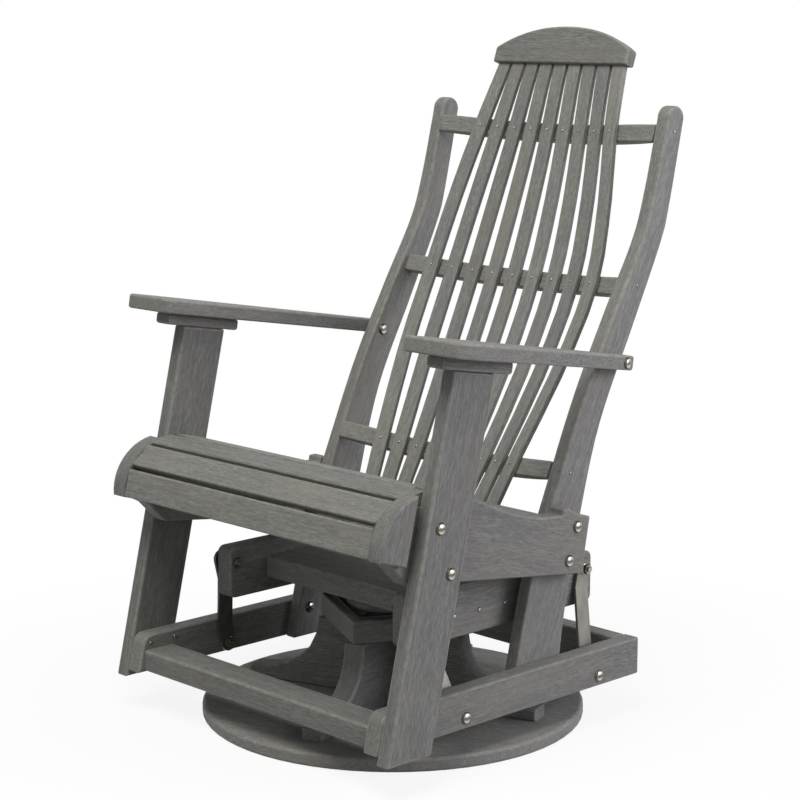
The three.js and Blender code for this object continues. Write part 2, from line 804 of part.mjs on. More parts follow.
// Bowed cross slats behind the back slats, butted between the back legs
function addCrossSlats() {
  crossSlatShares.forEach((t, i) => {
    const outer = backPath.getPoint(t);
    const turn = backTurn(t);
    const face = (x) => backSlat.thick + crossSlat.fit + bowAt(x, outer.x, t);
    const reach = backHalf;
    const front = [];
    for (let step = 0; step <= bow.steps; step += 1) {
      const x = -reach + (2 * reach * step) / bow.steps;
      front.push([x, face(x)]);
    }
    const rear = front.map(([x, y]) => [x, y + crossSlat.depth]).reverse();
    const group = new THREE.Group();
    group.position.set(0, outer.y, outer.z);
    group.rotation.x = -turn;
    chair.add(group);
    const slat = board(outline([...front, ...rear]), crossSlat.height, edge);
    add(group, `back_cross_slat_${i + 1}`, slat.translate(0, 0, -crossSlat.height / 2));
  });
}

// The crest board leans back, and its underside has a blind groove for the slats' tops
function addCrest() {
  const { half, end, rise, thick, wall, groove, ease } = crest;
  const { bend, corner } = crestShares;
  const shape = new THREE.Shape();
  shape.moveTo(-half, 0);
  shape.lineTo(half, 0);
  shape.lineTo(half, end);
  shape.lineTo(half - ease * (1 - corner), end + ease * corner);
  shape.lineTo(half - ease, end + ease);
  shape.quadraticCurveTo(half * bend, rise, 0, rise);
  shape.quadraticCurveTo(-half * bend, rise, ease - half, end + ease);
  shape.lineTo(ease * (1 - corner) - half, end + ease * corner);
  shape.lineTo(-half, end);
  const body = board(shape, thick, edge, crestSteps).translate(0, 0, -thick);
  const mouth = backPath.getPoint(1);
  const grooveWide = backSlat.thick + 2 * fit;
  const grooveLong = 2 * (mouth.x + backSlat.width / 2 + fit);
  const cutter = new THREE.BoxGeometry(grooveLong, groove + overrun, grooveWide);
  cutter.translate(0, (groove - overrun) / 2, -wall - grooveWide / 2);
  const lean = degToRad(back.lean);
  const mesh = add(chair, "crest_board", cut(body, cutter));
  mesh.rotation.x = Math.PI / 2 - lean;
  const setBack = wall + fit;
  mesh.position.set(0, mouth.y - setBack * Math.cos(lean), mouth.z + setBack * Math.sin(lean));
}

// Arms and the blocks under them lie in one tilted plane
function addArms() {
  const plane = new THREE.Group();
  plane.position.set(0, arm.front, arm.top);
  plane.rotation.x = -degToRad(arm.tilt);
  chair.add(plane);
  const inner = railInner + fit;
  const { corner, rearCorner, straight } = armShape;
  bothSides((word, side) => {
    const top = new THREE.Shape();
    top.moveTo(inner, arm.length);
    top.lineTo(inner, corner);
    top.absarc(inner + corner, corner, corner, Math.PI, 1.5 * Math.PI);
    top.lineTo(arm.outer - corner, 0);
    top.absarc(arm.outer - corner, corner, corner, -Math.PI / 2, 0);
    top.lineTo(arm.outer, straight);
    top.lineTo(arm.rearOuter, arm.length - rearCorner);
    top.quadraticCurveTo(arm.rearOuter, arm.length, arm.rearOuter - rearCorner, arm.length);
    add(plane, `arm_${word}`, mirrored(board(top, arm.thick).translate(0, 0, -arm.thick), side));
    const blockWide = armBlock.outer - railOuter;
    const block = outline(rectangle(railOuter, armBlock.front, blockWide, armBlock.length));
    const low = -arm.thick - fit - armBlock.thick;
    add(plane, `arm_block_${word}`, mirrored(board(block, armBlock.thick).translate(0, 0, low), side));
  });
}

addDisc();
addPedestal();
addSwivelPlates();
addSwivelFrame();
addUpperPivots();
addLinks();
addLowerFrame();
addFrontLegs();
addBackLegs();
addSeatSlats();
addSeatSides();
addSeatCaps();
addCrossSlats();
addBackSlats();
addCrest();
addArms();

export default chair;
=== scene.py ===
# The looks of an outdoor swivel glider armchair of grey lumber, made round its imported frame.
# Metres, +Z up, the sitter faces -Y and has +X on the left.

import json
import math

import bpy
from mathutils import Matrix, Vector


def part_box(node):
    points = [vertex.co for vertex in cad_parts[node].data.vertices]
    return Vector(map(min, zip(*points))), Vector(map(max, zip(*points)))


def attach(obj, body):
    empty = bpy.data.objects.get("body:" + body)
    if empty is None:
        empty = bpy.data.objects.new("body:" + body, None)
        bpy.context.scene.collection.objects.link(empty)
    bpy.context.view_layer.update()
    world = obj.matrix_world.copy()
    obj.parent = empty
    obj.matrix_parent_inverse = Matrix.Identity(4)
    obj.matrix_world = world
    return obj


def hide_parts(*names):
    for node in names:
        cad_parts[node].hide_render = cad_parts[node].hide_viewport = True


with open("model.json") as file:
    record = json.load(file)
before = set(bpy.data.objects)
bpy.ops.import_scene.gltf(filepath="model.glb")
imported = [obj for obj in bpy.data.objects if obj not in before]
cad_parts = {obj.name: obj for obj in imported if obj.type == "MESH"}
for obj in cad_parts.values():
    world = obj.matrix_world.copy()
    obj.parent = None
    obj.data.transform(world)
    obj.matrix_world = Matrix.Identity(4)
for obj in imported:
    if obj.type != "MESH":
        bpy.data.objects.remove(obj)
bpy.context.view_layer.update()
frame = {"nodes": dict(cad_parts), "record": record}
bpy.ops.object.select_all(action="DESELECT")

MM = 0.001
SIDES = ((1, "left"), (-1, "right"))

# Camera, at the photograph's place, with its turns in degrees and its lens in millimetres
CAMERA_PLACE = (2.5072, -2.4222, 1.1500)
CAMERA_TURN = 45.80
CAMERA_PITCH = 10.11
CAMERA_ROLL = -0.08
CAMERA_SENSOR = 36.0
CAMERA_LENS = 96.79

# Edges of the boards and of the steel, beyond the CAD's own chamfers
BOARD_ROUND = 1.6 * MM
SLAT_ROUND = 1.1 * MM
STEEL_ROUND = 0.4 * MM
EDGE_ANGLE = math.radians(28)
SMOOTH_ANGLE = math.radians(40)
SAME_PLACE = 0.01 * MM
FLAT_ANGLE = math.radians(0.4)

# Tones of the lumber, as its fibres show them
DARK_FIBRE = (0.140, 0.141, 0.132)
MIDDLE_FIBRE = (0.200, 0.201, 0.188)
PALE_FIBRE = (0.268, 0.269, 0.248)
WARM_CAST = (0.228, 0.214, 0.186)
COOL_CAST = (0.176, 0.177, 0.192)
PORE_TONE = (0.085, 0.084, 0.080)
# Painted highlight laid on the boards' rounded edges
EDGE_HIGHLIGHT_TONE = (0.262, 0.258, 0.232)
LUMBER_GLOSS = 0.35

# Layers of the grain and of the steel's marks: length along the run, width across it, detail and
# roughness of the noise
FINE_GRAIN = (11 * MM, 1.3 * MM, 2.0, 0.60)
FIBRE_GRAIN = (27 * MM, 2.2 * MM, 3.0, 0.60)
BAND_GRAIN = (130 * MM, 8 * MM, 2.0, 0.50)
CLOUD_GRAIN = (260 * MM, 60 * MM, 2.0, 0.50)
PORE_GRAIN = (9 * MM, 1.0 * MM, 1.0, 0.50)
SCRATCHES = (30 * MM, 0.35 * MM, 2.0, 0.55)
STAINS = (45 * MM, 18 * MM, 2.0, 0.55)
# Mottling of the painted highlight on the rounded edges
EDGE_HIGHLIGHT_NOISE = {"Scale": 95.0, "Detail": 3.0, "Roughness": 0.6}

# What each layer adds to the height of the lumber's surface
FINE_SHARE = 0.44
FIBRE_SHARE = 0.40
BAND_SHARE = 0.16
PORE_DEPTH = 0.3

# Levels between which each mark comes in, and the most that the lumber's casts and pores cover
STREAK_LEVELS = (0.40, 0.61)
PORE_LEVELS = (0.34, 0.26)
WARM_LEVELS = (0.48, 0.68)
COOL_LEVELS = (0.52, 0.30)
# The painted highlight turns from the middle tone to the pale one between these levels
EDGE_HIGHLIGHT_LEVELS = (0.40, 0.62)
MATT_LEVELS = (0.40, 0.60)
STAIN_LEVELS = (0.35, 0.70)
SCRATCH_LEVELS = (0.30, 0.70)
# Painted reflection on the domed heads: how far a face must point up or down to leave the dark middle band
PAINTED_REFLECTION_BAND_LEVELS = (0.06, 0.34)
WARM_MOST = 0.45
COOL_MOST = 0.40
PORE_MOST = 0.6

# Roughness from the low to the high marks, and for steel its change from the finish's own roughness
LUMBER_ROUGH = (0.78, 0.60)
EDGE_ROUGH = (0.66, 0.54)
SCRATCH_ROUGH = (-0.07, 0.10)
# Roughness added across the painted reflection's dark band
PAINTED_REFLECTION_BAND_ROUGH = 0.10

# Strength and depth of each bump
LUMBER_BUMP = (0.4, 0.4 * MM)
EDGE_BUMP = (0.3, 0.3 * MM)
SCRATCH_BUMP = (0.25, 0.1 * MM)

STAIN_DULL = 0.72
SEED_SHIFT = Vector((0.37, 0.53, 0.71))

# How far each board strays from the common tone, in turn
TONE_SPREAD = 0.12
TONE_STEPS = 11
TONE_STRIDE = 7


class Value:
    """One number socket of a node tree, with plain sums."""

    def __init__(self, look, socket):
        self.look = look
        self.socket = socket

    def reckoned(self, operation, *terms):
        return self.look.node("ShaderNodeMath", {"operation": operation}, *terms).value()

    def __add__(self, other):
        return self.reckoned("ADD", self, other)

    def __radd__(self, other):
        return self.reckoned("ADD", other, self)

    def __sub__(self, other):
        return self.reckoned("SUBTRACT", self, other)

    def __rsub__(self, other):
        return self.reckoned("SUBTRACT", other, self)

    def __mul__(self, other):
        return self.reckoned("MULTIPLY", self, other)

    def __rmul__(self, other):
        return self.reckoned("MULTIPLY", other, self)

    def larger(self, other):
        return self.reckoned("MAXIMUM", self, other)

    def unsigned(self):
        return self.reckoned("ABSOLUTE", self)


class Node:
    """A made node, whose outputs are taken as links or as Values."""

    def __init__(self, look, made):
        self.look = look
        self.made = made

    def out(self, name=0):
        return self.made.outputs[name]

    def value(self, name=0):
        return Value(self.look, self.made.outputs[name])


class Look:
    """The node tree of a material or of the world. Every node in it comes from node()."""

    def __init__(self, owner, output):
        owner.use_nodes = True
        self.owner = owner
        self.nodes = owner.node_tree.nodes
        self.links = owner.node_tree.links
        self.nodes.clear()
        self.surface = self.node(output, {}).made.inputs["Surface"]

    def node(self, kind, settings, *numbered, **named):
        made = self.nodes.new(kind)
        for key, setting in settings.items():
            if key == "stops":
                self.set_stops(made.color_ramp, setting)
            else:
                setattr(made, key, setting)
        sockets = [(made.inputs[i], value) for i, value in enumerate(numbered)]
        sockets += [(made.inputs[key.replace("_", " ")], value) for key, value in named.items()]
        for socket, value in sockets:
            self.feed(socket, value)
        return Node(self, made)

    def feed(self, socket, value):
        if isinstance(value, Value):
            self.links.new(value.socket, socket)
        elif isinstance(value, bpy.types.NodeSocket):
            self.links.new(value, socket)
        else:
            socket.default_value = value

    def set_stops(self, ramp, stops):
        while len(ramp.elements) < len(stops):
            ramp.elements.new(0.5)
        for element, (place, colour) in zip(ramp.elements, stops):
            element.position = place
            element.color = (*colour, 1.0)

    def mixed(self, share, first, second, blend="MIX"):
        """A mix of two colours, each a link or three numbers."""
        mix = self.node("ShaderNodeMix", {"data_type": "RGBA", "blend_type": blend}, Factor=share)
        colours = [socket for socket in mix.made.inputs if socket.type == "RGBA"]
        for socket, colour in zip(colours, (first, second)):
            self.feed(socket, (*colour, 1.0) if isinstance(colour, tuple) else colour)
        return next(socket for socket in mix.made.outputs if socket.type == "RGBA")

    def remapped(self, value, levels, to=(0.0, 1.0)):
        """A number between two levels, brought between two others."""
        return self.node("ShaderNodeMapRange", {"clamp": True}, value, *levels, *to).value()

    def bump(self, height, strength, distance):
        return self.node("ShaderNodeBump", {}, Strength=strength, Distance=distance, Height=height).out()

    def ended(self, shader):
        """Shows the shader, and gives the material back."""
        self.links.new(shader.out(), self.surface)
        return self.owner

    def finished(self, **sockets):
        return self.ended(self.node("ShaderNodeBsdfPrincipled", {}, **sockets))


def material_look(name):
    return Look(bpy.data.materials.new(name), "ShaderNodeOutputMaterial")


def turned_to(along):
    """Angles that turn a board's run onto the pattern's X axis."""
    return Vector(along).normalized().rotation_difference(Vector((1, 0, 0))).to_euler()


def pattern_place(look, along, seed):
    """Object coordinates with the grain's run on X, shifted by the piece's own seed."""
    return look.node(
        "ShaderNodeMapping",
        {"vector_type": "POINT"},
        Vector=look.node("ShaderNodeTexCoord", {}).out("Object"),
        Location=SEED_SHIFT * seed,
        Rotation=turned_to(along),
    ).out()


def grain_noise(look, place, layer):
    """Streaks of one length along the board and one width across it."""
    run, across, detail, rough = layer
    stretch = (1 / run, 1 / across, 1 / across)
    stretched = look.node("ShaderNodeMapping", {"vector_type": "POINT"}, Vector=place, Scale=stretch).out()
    noise = {"Scale": 1.0, "Detail": detail, "Roughness": rough}
    return look.node("ShaderNodeTexNoise", {}, Vector=stretched, **noise).value()


def lumber(name, along, seed, tone):
    """Grey wood-grained lumber whose fibres run along one direction."""
    look = material_look(name)
    place = pattern_place(look, along, seed)
    fine = grain_noise(look, place, FINE_GRAIN)
    fibre = grain_noise(look, place, FIBRE_GRAIN)
    band = grain_noise(look, place, BAND_GRAIN)
    cloud = grain_noise(look, place, CLOUD_GRAIN)
    pore = look.remapped(grain_noise(look, place, PORE_GRAIN), PORE_LEVELS)
    height = fine * FINE_SHARE + fibre * FIBRE_SHARE + band * BAND_SHARE
    stops = [(0.0, DARK_FIBRE), (0.5, MIDDLE_FIBRE), (1.0, PALE_FIBRE)]
    streaks = look.node("ShaderNodeValToRGB", {"stops": stops}, look.remapped(height, STREAK_LEVELS)).out()
    warm = look.remapped(cloud, WARM_LEVELS, (0.0, WARM_MOST))
    cool = look.remapped(band, COOL_LEVELS, (0.0, COOL_MOST))
    cast = look.mixed(cool, look.mixed(warm, streaks, WARM_CAST), COOL_CAST)
    pored = look.mixed(pore * PORE_MOST, cast, PORE_TONE)
    return look.finished(
        Base_Color=look.mixed(1.0, pored, (tone, tone, tone), "MULTIPLY"),
        Roughness=look.remapped(height, MATT_LEVELS, LUMBER_ROUGH),
        Specular_IOR_Level=LUMBER_GLOSS,
        Normal=look.bump(height - pore * PORE_DEPTH, *LUMBER_BUMP),
    )


def painted_edge_highlight():
    """A painted highlight: the paler, mottled tone laid on the boards' rounded edges, where light catches
    them.
    """
    look = material_look("painted_edge_highlight")
    place = look.node("ShaderNodeTexCoord", {}).out("Object")
    highlight_mottle = look.node("ShaderNodeTexNoise", {}, Vector=place, **EDGE_HIGHLIGHT_NOISE).value()
    return look.finished(
        Base_Color=look.mixed(look.remapped(highlight_mottle, EDGE_HIGHLIGHT_LEVELS), MIDDLE_FIBRE, EDGE_HIGHLIGHT_TONE),
        Roughness=look.remapped(highlight_mottle, MATT_LEVELS, EDGE_ROUGH),
        Specular_IOR_Level=LUMBER_GLOSS,
        Normal=look.bump(highlight_mottle, *EDGE_BUMP),
    )


def steel(name, along, tone, rough, seed=0):
    """Brushed steel with fine scratches along one direction."""
    look = material_look(name)
    place = pattern_place(look, along, seed)
    scratch = grain_noise(look, place, SCRATCHES)
    stain = look.remapped(grain_noise(look, place, STAINS), STAIN_LEVELS)
    dull = tuple(STAIN_DULL * share for share in tone)
    return look.finished(
        Base_Color=look.mixed(stain, tone, dull),
        Metallic=1.0,
        Roughness=look.remapped(scratch, SCRATCH_LEVELS, [rough + change for change in SCRATCH_ROUGH]),
        Normal=look.bump(scratch, *SCRATCH_BUMP),
    )


def painted_reflection_dome_steel(name, bright, dark, rough):
    """Polished steel of round heads with a painted reflection in its colour: bright above and below and
    dark across the middle.
    """
    look = material_look(name)
    facing = look.node("ShaderNodeTexCoord", {}).out("Normal")
    up = look.node("ShaderNodeSeparateXYZ", {}, facing).value("Z")
    # Painted reflection: dark where the face stands level, bright where it points up or down
    band = look.remapped(up.unsigned(), PAINTED_REFLECTION_BAND_LEVELS)
    return look.finished(
        Base_Color=look.mixed(band, dark, bright),
        Metallic=1.0,
        Roughness=look.remapped(band, (0.0, 1.0), (rough + PAINTED_REFLECTION_BAND_ROUGH, rough)),
    )


LINK_STEEL = steel("brushed_flat_bar", along=(0, 0.1, 1), tone=(0.21, 0.206, 0.184), rough=0.42)
PLATE_STEEL = steel("dark_plate", along=(1, 0, 0), tone=(0.10, 0.10, 0.10), rough=0.50, seed=3)
BOLT_STEEL = steel("bright_bolts", along=(1, 0, 0), tone=(0.44, 0.42, 0.37), rough=0.26, seed=5)
# The domed heads carry a painted reflection, bright above and below and dark across the middle
DOME_STEEL_PAINTED_REFLECTION = painted_reflection_dome_steel("domes_painted_reflection", bright=(0.60, 0.57, 0.50), dark=(0.15, 0.138, 0.118), rough=0.20)
# Painted dark reflection, laid on the side faces of heads, nuts and washers
RIM_STEEL_PAINTED_REFLECTION = steel("rims_painted_dark_reflection", along=(1, 0, 0), tone=(0.10, 0.092, 0.078), rough=0.42, seed=6)
SCREW_STEEL = steel("dull_screws", along=(1, 0, 0), tone=(0.34, 0.33, 0.30), rough=0.36, seed=7)


def only(piece):
    """Selects one piece and nothing else."""
    bpy.ops.object.select_all(action="DESELECT")
    piece.select_set(True)
    bpy.context.view_layer.objects.active = piece


def body_of(node):
    bodies = frame["record"]["behaviour"]["bodies"]
    return next(body for body, members in bodies.items() if node in members)


def nodes_of(slot):
    return [part["node"] for part in frame["record"]["subparts"] if part["material_slot"] == slot]


def modified(piece, kind, **settings):
    """Adds one modifier and applies it."""
    only(piece)
    bpy.ops.object.modifier_add(type=kind)
    modifier = piece.modifiers[-1]
    for key, setting in settings.items():
        setattr(modifier, key, setting)
    bpy.ops.object.modifier_apply(modifier=modifier.name)


# Where the back slats cross each cross slat: half their spread, Y and Z in millimetres, and the lean
# there in degrees
CROSSINGS = {
    "back_cross_slat_1": (153.5, 118.2, 428.4, 28.25),
    "back_cross_slat_2": (185.8, 273.2, 716.8, 23.74),
    "back_cross_slat_3": (148.8, 358.0, 961.7, 20.03),
}

# Cross slats whose bowed ends would stand in front of the uprights
PROUD_ENDS = ("back_cross_slat_1", "back_cross_slat_3")
END_EASE = 10.5 * MM
EASE_RUN = 82 * MM
FRONT_FACING = -0.5


def backwards(lean):
    """The way back through a slat that leans by so many degrees."""
    return Vector((0, math.cos(math.radians(lean)), -math.sin(math.radians(lean))))


def set_ends_back(piece, node):
    """Eases a cross slat's front face back towards both ends, so that it runs into the uprights."""
    back = backwards(CROSSINGS[node][-1])
    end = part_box(node)[1][0]
    front = [face for face in piece.data.polygons if face.normal.dot(back) < FRONT_FACING]
    for corner in {corner for face in front for corner in face.vertices}:
        vertex = piece.data.vertices[corner]
        reach = 1 - (end - abs(vertex.co.x)) / EASE_RUN
        vertex.co += back * END_EASE * max(reach, 0) ** 2


def merged_copy(node, materials):
    """A copy of a CAD piece, with its triangles merged into whole faces."""
    piece = bpy.data.objects.new("rounded_" + node, frame["nodes"][node].data.copy())
    bpy.context.scene.collection.objects.link(piece)
    piece.data.materials.clear()
    for material in materials:
        piece.data.materials.append(material)
    only(piece)
    bpy.ops.object.mode_set(mode="EDIT")
    bpy.ops.mesh.select_all(action="SELECT")
    bpy.ops.mesh.customdata_custom_splitnormals_clear()
    bpy.ops.mesh.remove_doubles(threshold=SAME_PLACE)
    bpy.ops.mesh.dissolve_limited(angle_limit=FLAT_ANGLE)
    bpy.ops.object.mode_set(mode="OBJECT")
    return piece


def rounded(node, radius, materials):
    """Stands for a CAD piece, with its edges worn round. The last material goes on those edges; on the
    boards it is their painted highlight.
    """
    piece = merged_copy(node, materials)
    if node in PROUD_ENDS:
        set_ends_back(piece, node)
    modified(
        piece,
        "BEVEL",
        width=radius,
        segments=2,
        limit_method="ANGLE",
        angle_limit=EDGE_ANGLE,
        use_clamp_overlap=True,
        miter_outer="MITER_ARC",
        harden_normals=False,
        material=len(materials) - 1,
    )
    only(piece)
    bpy.ops.object.shade_smooth_by_angle(angle=SMOOTH_ANGLE)
    modified(piece, "WEIGHTED_NORMAL", keep_sharp=True)
    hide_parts(node)
    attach(piece, body_of(node))


def level(turn):
    """A level direction, turned from X."""
    return (math.cos(turn), math.sin(turn), 0)


# Turns of the pedestal's boards and the disc's fibres, and the slope of the arms, in radians
QUARTER_TURN = math.pi / 2
PEDESTAL_TURN = math.radians(18)
DISC_TURN = 0.35
ARM_SLOPE = math.radians(9.5)

# The run of each board's fibres, by the start of its name
LEG_RUN = (0, 0.2345, 1)
BACK_RUN = (0, 0.44, 0.90)
ARM_RUN = (0, math.cos(ARM_SLOPE), -math.sin(ARM_SLOPE))
GRAIN = {
    "floor_disc": level(DISC_TURN),
    "cross_board_a": level(PEDESTAL_TURN),
    "cross_board_b": level(PEDESTAL_TURN + QUARTER_TURN),
    "pedestal_top_board": level(PEDESTAL_TURN + QUARTER_TURN / 2),
    "swivel_rail": (0, 1, 0),
    "swivel_cross_board": (1, 0, 0),
    "lower_rail": (0, 1, 0),
    "front_cross_rail": (1, 0, 0),
    "rear_cross_rail": (1, 0, 0),
    "front_leg": LEG_RUN,
    "back_leg": BACK_RUN,
    "seat_side": (0, 1, -0.25),
    "seat_cap": (0, 0.35, 1),
    "seat_slat": (1, 0, 0),
    "back_cross_slat": (1, 0, 0),
    "back_slat": BACK_RUN,
    "crest_board": (1, 0, 0),
    "arm": ARM_RUN,
}
THIN_BOARDS = ("back_slat", "back_cross_slat")

# Boards made darker or paler than the rest: on the front legs, crest, seat caps and front rail the
# darkening is painted shade, and on the floor disc the paling is painted light; the back slats and cross
# slats are paler
BOARD_TONES_AND_PAINTED_LIGHT = {
    "front_leg": 0.88,
    "crest_board": 0.88,
    "seat_cap": 0.88,
    "front_cross_rail": 0.90,
    "back_slat": 1.07,
    "back_cross_slat": 1.06,
    "floor_disc": 1.20,
}


def finish_lumber():
    # All boards share one painted highlight on their rounded edges
    edge_highlight = painted_edge_highlight()
    for seed, node in enumerate(nodes_of("lumber")):
        start = next(start for start in GRAIN if node.startswith(start))
        stray = (seed * TONE_STRIDE) % TONE_STEPS / (TONE_STEPS - 1) - 0.5
        # The board's tone holds painted shade or painted light where the table above gives it
        tone = BOARD_TONES_AND_PAINTED_LIGHT.get(start, 1.0) * (1 + TONE_SPREAD * stray)
        look = lumber("lumber_" + node, GRAIN[start], seed + 1, tone)
        radius = SLAT_ROUND if node.startswith(THIN_BOARDS) else BOARD_ROUND
        rounded(node, radius, (look, edge_highlight))


# The pivot bolts are steel too, but add_pivots makes them
def finish_steel():
    for node in nodes_of("steel"):
        if "pivot" not in node:
            look = LINK_STEEL if "link" in node else PLATE_STEEL
            rounded(node, STEEL_ROUND, (look,))


# Profiles of the fasteners, as radius and height in millimetres from the base up
CARRIAGE_HEAD = [(9.8, 0), (9.9, 0.6), (9.2, 2.2), (7.6, 3.7), (5.2, 4.8), (2.4, 5.4), (0.8, 5.5)]
SMALL_SCREW = [(2.5, 0), (2.6, 0.4), (2.3, 1.0), (1.6, 1.5), (0.6, 1.7)]
RAIL_SCREW = [(3.9, 0), (4.0, 0.5), (3.6, 1.4), (2.6, 2.1), (1.2, 2.4), (0.5, 2.45)]
WASHER = [(9.6, 0), (10.0, 0.3), (10.0, 1.4), (9.6, 1.7)]
HEX_NUT = [(8.4, 0), (9.0, 0.6), (9.0, 6.2), (8.2, 7.0)]
HEX_HEAD = [(6.2, 0), (6.6, 0.5), (6.6, 3.6), (5.9, 4.2)]
BOLT_END = [(5.0, 0), (5.0, 2.3), (4.4, 3.0)]
ROUND_SIDES = 24
SCREW_SIDES = 14
HEX_SIDES = 6
# Faces that stand steeper than this take the painted dark reflection of the rims
RIM_TILT = 0.80
SUNK = 0.2 * MM


def turned(name, profile, sides, look):
    """A head, nut or washer whose rim carries a painted dark reflection, standing on the origin and drawn
    up along Z.
    """
    bpy.ops.object.select_all(action="DESELECT")
    radius, height = (size * MM for size in profile[0])
    bpy.ops.mesh.primitive_circle_add(vertices=sides, radius=radius, fill_type="NGON", location=(0, 0, 0))
    piece = bpy.context.active_object
    piece.name = name
    for material in (look, RIM_STEEL_PAINTED_REFLECTION):
        piece.data.materials.append(material)
    bpy.ops.object.mode_set(mode="EDIT")
    bpy.ops.mesh.select_all(action="SELECT")
    for next_radius, next_height in profile[1:]:
        rise = next_height * MM - height
        share = next_radius * MM / radius
        bpy.ops.mesh.extrude_region_move(TRANSFORM_OT_translate={"value": (0, 0, rise)})
        bpy.ops.transform.resize(value=(share, share, 1), center_override=(0, 0, next_height * MM))
        radius, height = next_radius * MM, next_height * MM
    bpy.ops.mesh.select_all(action="SELECT")
    bpy.ops.mesh.normals_make_consistent(inside=False)
    bpy.ops.object.mode_set(mode="OBJECT")
    bpy.ops.object.shade_smooth_by_angle(angle=SMOOTH_ANGLE)
    # Painted dark reflection: the side faces take the darker rim steel
    for face in piece.data.polygons:
        face.material_index = 1 if abs(face.normal.z) < RIM_TILT else 0
    return piece


def copied(model, place, out, spin=0.0):
    """A copy with its own mesh, standing at a place and pointing out along a direction."""
    piece = bpy.data.objects.new(model.name, model.data.copy())
    bpy.context.scene.collection.objects.link(piece)
    turn = Vector((0, 0, 1)).rotation_difference(Vector(out)).to_matrix().to_4x4()
    spun = turn @ Matrix.Rotation(spin, 4, "Z")
    piece.data.transform(Matrix.Translation(Vector(place) - Vector(out).normalized() * SUNK) @ spun)
    return piece


def as_one(name, pieces, body):
    """Joins copies into one piece of steel that rides on one body."""
    only(pieces[0])
    for piece in pieces:
        piece.select_set(True)
    bpy.ops.object.join()
    one = bpy.context.active_object
    one.name = name
    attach(one, body)
    return one


def outer_face(node):
    """The X of the outer face of a board on the left."""
    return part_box(node)[1][0]


def inner_face(node):
    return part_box(node)[0][0]


def on_faces(places, x, way=1):
    """Places given as Y and Z in millimetres, on the faces at plus and minus X, and the way they face."""
    return [((side * x, y * MM, z * MM), (side * way, 0, 0)) for side, _ in SIDES for y, z in places]


def struck(node, place, toward):
    """Where a line from a place first meets a CAD piece, with the way out of its face."""
    hit, where, out, _ = frame["nodes"][node].ray_cast(Vector(place), Vector(toward).normalized())
    if not hit:
        raise ValueError("nothing met on " + node)
    return where, out


# Places of the bolt heads and screws on the boards' side faces, as Y and Z in millimetres
LEG_BOLTS = ((-221, 404.5), (-199, 331.5))
SEAT_SIDE_BOLTS = ((116, 347.5), (97, 294.5))
BACK_LEG_BOLT = (34, 120.5)
ARM_BOLT_INSIDE = (213, 599.5)
ARM_BOLT = (226.4, 600.6)
FOOT_SCREWS = ((-300, 118.5), (-249, 119.5))
BACK_LEG_SCREWS = ((133.6, 428.2), (291, 718), (379.3, 964.3))
RAIL_SCREWS = ((-87, 223.5), (-30.6, 223.5), (29.7, 224.5), (88, 223.5))
SLAT_COUNT = 9

# Where the lines start that look for a face: beside the chair, and in front of the back slats
BESIDE_CHAIR = 600 * MM
BEFORE_SLATS = 120 * MM


def add_carriage_heads():
    head = turned("carriage_head", CARRIAGE_HEAD, ROUND_SIDES, DOME_STEEL_PAINTED_REFLECTION)
    seen = on_faces(LEG_BOLTS, outer_face("front_leg_left"))
    seen += on_faces(SEAT_SIDE_BOLTS, outer_face("seat_side_left"))
    seen += on_faces((BACK_LEG_BOLT, ARM_BOLT_INSIDE), inner_face("back_leg_left"), way=-1)
    y, z = (length * MM for length in ARM_BOLT)
    for side, word in SIDES:
        seen.append(struck("arm_" + word, (side * BESIDE_CHAIR, y, z), (-side, 0, 0)))
    as_one("frame_bolt_heads", [copied(head, place, out) for place, out in seen], "chair")
    return head


def slat_crossings():
    """Spots on the back slats' front faces, and the way out of each, where the cross slats lie behind."""
    half = SLAT_COUNT // 2
    spots = []
    for spread, y, z, lean in CROSSINGS.values():
        back = backwards(lean)
        for slat in range(SLAT_COUNT):
            start = Vector(((slat - half) / half * spread, y, z)) * MM - back * BEFORE_SLATS
            spots.append(struck("back_slat_%d" % (slat + 1), start, back))
    return spots


def add_screws():
    small = turned("small_screw", SMALL_SCREW, SCREW_SIDES, SCREW_STEEL)
    wide = turned("rail_screw", RAIL_SCREW, SCREW_SIDES, SCREW_STEEL)
    joints = on_faces(BACK_LEG_SCREWS, outer_face("back_leg_left"))
    feet = on_faces(FOOT_SCREWS, inner_face("lower_rail_left"), way=-1)
    rails = on_faces(RAIL_SCREWS, outer_face("swivel_rail_left"))
    rows = (
        ("back_slat_screws", small, slat_crossings(), "chair"),
        ("back_leg_screws", small, joints, "chair"),
        ("leg_foot_screws", wide, feet, "chair"),
        ("swivel_rail_screws", wide, rails, "swivel_frame"),
    )
    for name, model, spots, body in rows:
        as_one(name, [copied(model, place, out) for place, out in spots], body)
    for model in (small, wide):
        bpy.data.objects.remove(model)


# Pivot bolts from end to end: each part, its distance from the chair's middle in millimetres, and its way
UPPER_STACK = (
    ("end", 187, -1),
    ("nut", 194, -1),
    ("washer", 229, 1),
    ("washer", 237.3, 1),
    ("nut", 239, 1),
    ("end", 246, 1),
)
LOWER_STACK = (
    ("end", 254.3, -1),
    ("nut", 262, -1),
    ("washer", 264, -1),
    ("washer", 269.3, 1),
    ("head", 304, 1),
)
PIVOT_STACKS = {
    "upper_pivot_front_": UPPER_STACK,
    "upper_pivot_rear_": UPPER_STACK,
    "lower_pivot_": LOWER_STACK,
}
REAR_HEAD = (("head", 304.3, 1),)
LINK_EYE = 15.5 * MM
NUT_SPIN = math.radians(8)


def axis_of(node):
    """The Y and Z of a pivot's middle."""
    low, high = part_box(node)
    return (low[1] + high[1]) / 2, (low[2] + high[2]) / 2


